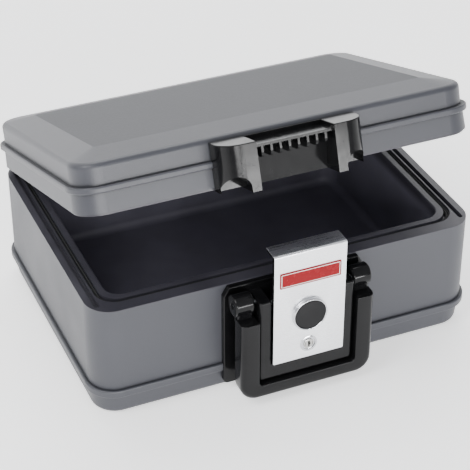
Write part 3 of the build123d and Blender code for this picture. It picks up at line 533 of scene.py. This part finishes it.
def flat_plate(name, loops, thickness, edge):
    """A plate in the XZ plane, centred on y = 0, cut from closed loops, with rounded edges."""
    curve = bpy.data.curves.new(name, "CURVE")
    curve.dimensions = "2D"
    curve.fill_mode = "BOTH"
    curve.extrude = thickness / 2 - edge
    curve.bevel_depth = edge
    curve.bevel_resolution = 2
    curve.offset = -edge
    for loop in loops:
        spline = curve.splines.new("POLY")
        spline.points.add(len(loop) - 1)
        for point, (x, z) in zip(spline.points, loop):
            point.co = (x, z, 0, 1)
        spline.use_cyclic_u = True
    holder = bpy.data.objects.new(name, curve)
    mesh = bpy.data.meshes.new_from_object(holder)
    bpy.data.objects.remove(holder)
    mesh.transform(Matrix.Rotation(math.pi / 2, 4, "X"))
    return mesh


# ---------------------------------------------------------------- the pieces


class CHEST_OT_shells(Operator):
    """Gives the base and the lid their moulded grey shells"""

    bl_idname = "chest.shells"
    bl_label = "Shells"

    def execute(self, context):
        finish_nodes(moulded_abs_grey("moulded_abs_grey"), "base_shell")
        panel = (0.0, math.sin(OPEN_ANGLE), math.cos(OPEN_ANGLE))
        finish_nodes(moulded_abs_grey("moulded_abs_grey_lid", panel), "lid_shell")
        return {"FINISHED"}


class CHEST_OT_insides(Operator):
    """Gives the tub, the lid's lining, the fill and its plugs their finishes"""

    bl_idname = "chest.insides"
    bl_label = "Lining and fill"

    def execute(self, context):
        finish_nodes(moulded_polypropylene_black(),
                     "base_liner", "lid_liner", "base_fill_plugs", "lid_fill_plugs")
        finish_nodes(cast_cement_fill(), "base_insulation", "lid_insulation")
        return {"FINISHED"}


class CHEST_OT_rim_seal(Operator):
    """Builds the rubber seal, with two lips, in the rim's groove"""

    bl_idname = "chest.rim_seal"
    bl_label = "Rim seal"

    def execute(self, context):
        low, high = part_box("rim_seal")
        corner = 18 * MM
        bm = bmesh.new()
        section = [(0.0, 0.0), (0.0, 2.6), (0.5, 3.4), (1.1, 4.0), (1.6, 3.9), (1.9, 3.3), (2.3, 3.0),
                   (2.7, 3.3), (3.0, 3.9), (3.5, 4.0), (4.1, 3.4), (4.6, 2.6), (4.6, 0.0)]
        rings = []
        for across, up in section:
            inset = across * MM
            loop = rounded_rectangle(high.x - inset, low.y + inset, high.y - inset, corner - inset)
            rings.append([bm.verts.new((x, y, low.z + up * MM)) for x, y in loop])
        for k in range(len(rings)):
            join_rings(bm, rings[k], rings[(k + 1) % len(rings)])
        piece_from("rim_seal_rubber", mesh_from(bm, "rim_seal_rubber"), extruded_rubber(),
                   "base", "seal_rubber", "rim_seal")
        return {"FINISHED"}


class CHEST_OT_front_mouldings(Operator):
    """Gives the black front plate, the latch housing, the lid's ears and the lever their polish"""

    bl_idname = "chest.front_mouldings"
    bl_label = "Front mouldings"

    def execute(self, context):
        finish_nodes(polished_abs_black(), "front_bezel", "latch_housing", "lid_bezel", "latch_lever")
        return {"FINISHED"}


class CHEST_OT_carry_handle(Operator):
    """Builds the hanging handle: a grip bar, two deep arms and two round hubs"""

    bl_idname = "chest.carry_handle"
    bl_label = "Carry handle"

    ARM = 17.4 * MM
    BAR = 15.2 * MM
    SHOULDER = 22.0 * MM
    INNER_BEND = 4.0 * MM
    OUTER_BEND = 16.0 * MM
    HUB = 10.5 * MM
    PIN_ROOM = 3.05 * MM
    DEPTH = 19.0 * MM
    PIVOT_BACK = 20.5 * MM
    HUB_LENGTH = 18.5 * MM

    def execute(self, context):
        low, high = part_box("carry_handle")
        bm = bmesh.new()
        self.add_grip(bm, low, high)
        for side in (-1, 1):
            self.add_hub(bm, low, high, side)
        mesh = mesh_from(bm, "carry_handle_moulding", 40)
        material = bpy.data.materials["polished_abs_black"]
        piece_from("carry_handle_moulding", mesh, material, "handle", "gloss_black", "carry_handle")
        return {"FINISHED"}

    def add_grip(self, bm, low, high):
        front, back = low.y, low.y + self.DEPTH
        outer = high.x - 1.5 * MM
        inner = outer - self.ARM
        bar_top = low.z + self.BAR
        top = high.z - self.SHOULDER
        turn_in = (inner - self.INNER_BEND, bar_top + self.INNER_BEND)
        turn_out = (outer - self.OUTER_BEND, low.z + self.OUTER_BEND)
        right = []
        for (xi, zi), (xo, zo) in zip(arc(turn_in, self.INNER_BEND, -90, 0, 12),
                                      arc(turn_out, self.OUTER_BEND, -90, 0, 12)):
            right.append((xi, zi, xo, zo))
        stations = [(inner, top, outer, top), (inner, bar_top + 14 * MM, outer, low.z + 20 * MM)]
        stations += right[::-1] + [(-a, b, -c, d) for a, b, c, d in right]
        stations += [(-inner, bar_top + 14 * MM, -outer, low.z + 20 * MM), (-inner, top, -outer, top)]
        section = self.section(front, back)
        rings = []
        for xi, zi, xo, zo in stations:
            span = Vector((xo - xi, 0, zo - zi))
            width = span.length
            along = span / width
            ring = []
            for share, offset, y in section:
                reach = share * width + offset
                ring.append(bm.verts.new((xi + along.x * reach, y, zi + along.z * reach)))
            rings.append(ring)
        for near, far in zip(rings, rings[1:]):
            join_rings(bm, near, far)
        for end in (rings[0], rings[-1]):
            cap = bm.faces.new(end)
            edges = list(cap.edges)
            bmesh.ops.bevel(bm, geom=edges, offset=1.4 * MM, offset_type="OFFSET", segments=4,
                            profile=0.6, affect="EDGES", clamp_overlap=True)

    def section(self, front, back):
        """The grip's section as (share of the width, offset, y), from the inner front edge round."""
        points = []
        r = sizes().handle_round
        bead = 0.9 * MM
        for x, y in arc((bead, front + bead), bead, 180, 270, 4):
            points.append((0.0, x, y))
        for x, y in arc((-r, front + r), r, 270, 360, 8):
            points.append((1.0, x, y))
        soft = 2.5 * MM
        for x, y in arc((-soft, back - soft), soft, 0, 90, 5):
            points.append((1.0, x, y))
        for x, y in arc((bead, back - bead), bead, 90, 180, 3):
            points.append((0.0, x, y))
        return points

    def add_hub(self, bm, low, high, side):
        pivot_y = low.y + self.PIVOT_BACK
        pivot_z = high.z - self.HUB
        x0 = high.x - self.HUB_LENGTH
        length = high.x - x0
        soft = 2.2 * MM
        profile = [(0.0, self.PIN_ROOM)]
        profile += arc((soft, self.HUB - soft), soft, 180, 90, 6)
        profile += arc((length - soft, self.HUB - soft), soft, 90, 0, 6)
        profile += [(length, self.PIN_ROOM + 0.6 * MM), (length - 0.6 * MM, self.PIN_ROOM)]
        turn = Matrix.Translation((side * x0, pivot_y, pivot_z)) @ Matrix.Scale(side, 4, (1, 0, 0))
        lathe(bm, profile, turn, 72)
        neck = bmesh.ops.create_cube(bm, size=1.0)["verts"]
        width, depth, rise = 15.0 * MM, 10.5 * MM, 17.0 * MM
        centre = Vector((side * (x0 + length / 2 - 0.4 * MM),
                         pivot_y - 3.2 * MM, pivot_z - rise / 2 + 1.0 * MM))
        for v in neck:
            v.co = Vector((v.co.x * width, v.co.y * depth, v.co.z * rise)) + centre
        upright = [e for e in {e for v in neck for e in v.link_edges}
                   if abs(e.verts[0].co.z - e.verts[1].co.z) > rise / 2]
        bmesh.ops.bevel(bm, geom=upright, offset=2.4 * MM, segments=4, profile=0.5, affect="EDGES")


class CHEST_OT_face_plate(Operator):
    """Builds the folded sheet over the latch, with its holes and rounded edges"""

    bl_idname = "chest.face_plate"
    bl_label = "Face plate"

    BUTTON_HOLE = 15.3 * MM
    LOCK_HOLE = 7.05 * MM
    EDGE = 0.22 * MM

    def execute(self, context):
        low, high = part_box("face_plate")
        bm = bmesh.new()
        profile = self.profile(low, high)
        near = [bm.verts.new((-high.x, y, z)) for y, z in profile]
        far = [bm.verts.new((high.x, y, z)) for y, z in profile]
        join_rings(bm, near, far)
        bm.faces.new(near)
        bm.faces.new(far[::-1])
        corners = [e for e in bm.edges if max(v.co.z for v in e.verts) < low.z + MM
                   and abs(e.verts[0].co.x - e.verts[1].co.x) < MM
                   and abs(e.verts[0].co.y - e.verts[1].co.y) > 0.5 * MM]
        bmesh.ops.bevel(bm, geom=corners, offset=1.4 * MM, segments=5, profile=0.5, affect="EDGES")
        holes = bmesh.new()
        for node, radius in (("push_button", self.BUTTON_HOLE), ("lock_barrel", self.LOCK_HOLE)):
            a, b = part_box(node)
            depth = 6 * MM
            lathe(holes, [(-depth, 0.0), (-depth, radius), (depth, radius), (depth, 0.0)],
                  facing_front(0, low.y, (a.z + b.z) / 2))
        mesh = cut_and_soften(bm, holes, "face_plate_sheet", self.EDGE)
        piece_from("face_plate_sheet", mesh, satin_anodised_aluminium(),
                   "latch", "satin_silver", "face_plate")
        return {"FINISHED"}

    def profile(self, low, high):
        """The folded sheet from the side, as (y, z): down the front, round the bend and back."""
        sheet, bend = sizes().sheet, sizes().plate_bend
        centre = (low.y + bend, high.z - bend)
        outside = [(low.y, low.z)] + arc(centre, bend, 180, 90, 8) + [(high.y, high.z)]
        inside = [(high.y, high.z - sheet)] + arc(centre, bend - sheet, 90, 180, 8)
        inside.append((low.y + sheet, low.z))
        return outside + inside


class CHEST_OT_badge(Operator):
    """Builds the plain enamelled badge with a thin line inside its edge"""

    bl_idname = "chest.badge"
    bl_label = "Badge"

    def execute(self, context):
        low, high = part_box("badge")
        depth = high.y - low.y
        plain = depth - 0.12 * MM
        inset = 1.3 * MM
        line = sizes().badge_line
        outline = rounded_rectangle(high.x, low.z, high.z, 1.0 * MM)
        field = flat_plate("badge_field", [outline], plain, 0.15 * MM)
        field.transform(Matrix.Translation((0, high.y - plain / 2, 0)))
        outer = rounded_rectangle(high.x - inset, low.z + inset, high.z - inset, 0.7 * MM)
        within = inset + line
        inner = rounded_rectangle(high.x - within, low.z + within, high.z - within, 0.4 * MM)
        border = flat_plate("badge_line", [outer, inner], depth, 0.06 * MM)
        border.transform(Matrix.Translation((0, high.y - depth / 2, 0)))
        for mesh in (field, border):
            mesh.shade_smooth()
            mesh.set_sharp_from_angle(angle=math.radians(35))
        piece_from("badge_field", field, stove_enamel("stove_enamel_red", colours().badge),
                   "latch", "badge_red", "badge")
        piece_from("badge_line", border, stove_enamel("stove_enamel_pale", colours().badge_line),
                   "latch", "badge_red")
        return {"FINISHED"}


class CHEST_OT_button(Operator):
    """Builds the push button with its hollow face, and the bright ring round it"""

    bl_idname = "chest.button"
    bl_label = "Button and ring"

    def execute(self, context):
        low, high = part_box("push_button")
        centre_z = (low.z + high.z) / 2
        radius = (high.z - low.z) / 2
        chrome = polished_chromium()
        self.build_button(low, high, centre_z, radius)
        self.build_ring(centre_z, chrome)
        finish_nodes(drawn_spring_wire(), "button_spring", "button_clip", "lever_spring")
        return {"FINISHED"}

    def build_button(self, low, high, centre_z, radius):
        dish = sizes().button_dish
        rim = 0.8 * MM
        hollow = radius - 2 * rim
        face = []
        steps = 14
        for k in range(steps + 1):
            r = hollow * (1 - k / steps)
            face.append((dish * (1 - (r / hollow) ** 2), r))
        edge = arc((rim, radius - rim), rim, 90, 180, 5)
        depth = 6.0 * MM
        stem = 4.0 * MM
        back = high.y - low.y
        profile = edge + face
        profile += [(back, 0.0), (back, stem - 0.4 * MM), (back - 0.4 * MM, stem),
                    (depth, stem), (depth, radius)]
        bm = bmesh.new()
        lathe(bm, profile, facing_front(0, low.y, centre_z))
        mesh = mesh_from(bm, "push_button_cap", 40)
        piece_from("push_button_cap", mesh, matt_abs_black(), "button", "matte_black", "push_button")

    def build_ring(self, centre_z, chrome):
        low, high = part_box("button_ring")
        outer = (high.z - low.z) / 2
        bore = outer - 1.75 * MM
        proud = high.y - low.y
        crest = (outer - bore) / 2
        profile = [(proud, bore)] + [(crest * 0.7, bore)]
        profile += arc((crest * 0.9, bore + crest), crest * 0.9, 230, 130, 10)
        profile += [(crest * 1.4, outer), (proud, outer)]
        bm = bmesh.new()
        lathe(bm, profile, facing_front(0, low.y, centre_z))
        piece_from("button_ring_turned", mesh_from(bm, "button_ring_turned", 40), chrome,
                   "latch", "bright_chrome", "button_ring")


class CHEST_OT_lock(Operator):
    """Builds the lock's plated barrel and its turned plug with the keyway"""

    bl_idname = "chest.lock"
    bl_label = "Lock"

    def execute(self, context):
        self.build_barrel()
        self.build_plug()
        return {"FINISHED"}

    def build_barrel(self):
        """A ring with a rounded crest, a step down inside it and the threaded tube behind."""
        low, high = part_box("lock_barrel")
        radius = (high.z - low.z) / 2
        tube = radius - 1.4 * MM
        bore = 5.05 * MM
        length = high.y - low.y
        profile = [(length, bore), (1.1 * MM, bore), (1.1 * MM, bore + 1.2 * MM),
                   (0.25 * MM, bore + 1.5 * MM)]
        profile += arc((0.45 * MM, radius - 0.9 * MM), 0.45 * MM, 200, 110, 4)
        profile += [(0.5 * MM, radius), (0.8 * MM, radius), (0.8 * MM, tube)]
        pitch = 1.0 * MM
        along = 6.2 * MM
        while along < length - pitch:
            profile += [(along, tube), (along + pitch / 2, tube - 0.35 * MM)]
            along += pitch
        profile += [(length - 0.3 * MM, tube), (length, tube - 0.3 * MM)]
        bm = bmesh.new()
        lathe(bm, profile, facing_front(0, low.y, (low.z + high.z) / 2), 72)
        piece_from("lock_barrel_turned", mesh_from(bm, "lock_barrel_turned"),
                   bpy.data.materials["polished_chromium"], "latch", "bright_chrome", "lock_barrel")

    def build_plug(self):
        """The plug, its face slightly domed, with a keyway between two shallow side cuts."""
        low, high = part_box("lock_plug")
        radius = (high.z - low.z) / 2
        centre_z = (low.z + high.z) / 2
        dome = 0.25 * MM
        sunk = 0.4 * MM
        end = high.y - low.y
        tail = end - 2.2 * MM
        tail_radius = radius * 0.58
        face = [(sunk + dome * ((r / radius) ** 2), r)
                for r in [radius * 0.93 * k / 6 for k in range(7)]]
        profile = face[::-1] + [(end, 0.0), (end, tail_radius), (tail, tail_radius), (tail, radius),
                                (sunk + 0.5 * MM, radius)]
        bm = bmesh.new()
        lathe(bm, profile, facing_front(0, low.y, centre_z), 64)
        cuts = bmesh.new()
        for x, wide, tall in ((0.0, 1.7, 6.2), (0.9, 1.6, 1.8), (-3.4, 0.9, 3.4), (3.4, 0.9, 3.4)):
            block = bmesh.ops.create_cube(cuts, size=1.0)["verts"]
            deep = 7.0 if abs(x) < 2 else 0.9
            for v in block:
                v.co = Vector((v.co.x * wide * MM + x * MM, v.co.y * deep * 2 * MM + low.y + 0.35 * MM,
                               v.co.z * tall * MM + centre_z))
        mesh = cut_and_soften(bm, cuts, "lock_plug_turned", 0.1 * MM)
        piece_from("lock_plug_turned", mesh, turned_steel("turned_nickel_steel", centre_z),
                   "lock", "lock_steel", "lock_plug")


class CHEST_OT_fasteners(Operator):
    """Gives the hinges, pins, nut, cam and screws their zinc plate"""

    bl_idname = "chest.fasteners"
    bl_label = "Hinges and fasteners"

    def execute(self, context):
        finish_nodes(zinc_plated_steel(), "housing_screws", "lever_pin", "handle_pins", "hinge_base_leaves",
                     "hinge_base_screws", "hinge_pins", "lock_nut", "lock_cam", "cam_screw",
                     "lid_bezel_screws", "hinge_lid_leaves", "hinge_lid_screws")
        return {"FINISHED"}


# ---------------------------------------------------------------- stage


def soft_box(name, at, look_at, width, height, watts):
    """A white studio softbox aimed at a point."""
    light = bpy.data.lights.new(name, "AREA")
    light.shape = "RECTANGLE"
    light.size = width
    light.size_y = height
    light.energy = watts
    lamp = bpy.data.objects.new(name, light)
    lamp.location = at
    lamp.rotation_euler = (Vector(look_at) - Vector(at)).to_track_quat("-Z", "Y").to_euler()
    bpy.context.scene.collection.objects.link(lamp)


class CHEST_OT_stage(Operator):
    """Sets the pale floor, the soft lights, the surroundings and the camera"""

    bl_idname = "chest.stage"
    bl_label = "Stage"

    FLOOR_FRONT = -8.0
    FLOOR_BACK = 3.0
    FLOOR_SIDE = 9.0
    SWEEP_BEND = 1.5
    WALL_TOP = 7.0
    ROOM_GLOW = 0.75
    CAMERA_AT = (-0.5274, -1.2324, 0.9699)
    CAMERA_YAW = 0.4062
    CAMERA_PITCH = -0.5922
    LENS = 124.9

    def execute(self, context):
        self.build_floor()
        self.build_lights()
        self.build_camera()
        return {"FINISHED"}

    def build_floor(self):
        bm = bmesh.new()
        sweep = [(self.FLOOR_FRONT, 0.0), (self.FLOOR_BACK, 0.0)]
        sweep += arc((self.FLOOR_BACK, self.SWEEP_BEND), self.SWEEP_BEND, -90, 0, 16)
        sweep.append((self.FLOOR_BACK + self.SWEEP_BEND, self.WALL_TOP))
        lines = [[bm.verts.new((x, y, z)) for x in (-self.FLOOR_SIDE, self.FLOOR_SIDE)] for y, z in sweep]
        for near, far in zip(lines, lines[1:]):
            bm.faces.new((near[0], near[1], far[1], far[0]))
        mesh = mesh_from(bm, "studio_sweep", 60)
        floor = bpy.data.objects.new("studio_sweep", mesh)
        bpy.context.scene.collection.objects.link(floor)
        mesh.materials.append(studio_paper())

    def build_lights(self):
        world = bpy.data.worlds.new("studio_room")
        world.use_nodes = True
        room = world.node_tree.nodes["Background"]
        room.inputs["Color"].default_value = rgba(linear("#f4f6fa"))
        room.inputs["Strength"].default_value = self.ROOM_GLOW
        bpy.context.scene.world = world
        soft_box("key_box", (-2.0, -0.6, 2.4), (0, 0, 0.1), 1.6, 1.6, 64)
        soft_box("front_box", (0.6, -3.2, 0.34), (0, 0, 0.2), 1.6, 0.34, 58)
        soft_box("fill_box", (-0.7, -2.4, 0.8), (0.05, 0.05, 0.13), 1.0, 0.7, 42)
        soft_box("top_box", (0.3, 1.4, 2.6), (0, 0, 0.1), 2.0, 1.4, 52)

    def build_camera(self):
        yaw, pitch = self.CAMERA_YAW, self.CAMERA_PITCH
        ahead = Vector((math.sin(yaw) * math.cos(pitch), math.cos(yaw) * math.cos(pitch), math.sin(pitch)))
        data = bpy.data.cameras.new("studio_camera")
        data.lens = self.LENS
        data.clip_start = 0.05
        camera = bpy.data.objects.new("studio_camera", data)
        camera.location = self.CAMERA_AT
        camera.rotation_euler = ahead.to_track_quat("-Z", "Y").to_euler()
        bpy.context.scene.collection.objects.link(camera)
        bpy.context.scene.camera = camera


class CHEST_PT_panel(Panel):
    """Lists the chest's pieces, sizes and colours"""

    bl_idname = "CHEST_PT_panel"
    bl_label = "Fire Chest"
    bl_space_type = "VIEW_3D"
    bl_region_type = "UI"
    bl_category = "Fire Chest"

    def draw(self, context):
        for group in (context.scene.chest_sizes, context.scene.chest_colours):
            box = self.layout.box()
            for name in group.__annotations__:
                box.prop(group, name)
        for operator in OPERATORS:
            self.layout.operator(operator.bl_idname)


OPERATORS = (
    CHEST_OT_shells, CHEST_OT_insides, CHEST_OT_rim_seal, CHEST_OT_front_mouldings, CHEST_OT_carry_handle,
    CHEST_OT_face_plate, CHEST_OT_badge, CHEST_OT_button, CHEST_OT_lock, CHEST_OT_fasteners, CHEST_OT_stage,
)
CLASSES = (ChestColours, ChestSizes) + OPERATORS + (CHEST_PT_panel,)


def register():
    for cls in CLASSES:
        bpy.utils.register_class(cls)
    bpy.types.Scene.chest_colours = PointerProperty(type=ChestColours)
    bpy.types.Scene.chest_sizes = PointerProperty(type=ChestSizes)


def unregister():
    del bpy.types.Scene.chest_sizes
    del bpy.types.Scene.chest_colours
    for cls in reversed(CLASSES):
        bpy.utils.unregister_class(cls)


def main():
    register()
    for operator in OPERATORS:
        area, name = operator.bl_idname.split(".")
        getattr(getattr(bpy.ops, area), name)()


if __name__ == "__main__":
    main()
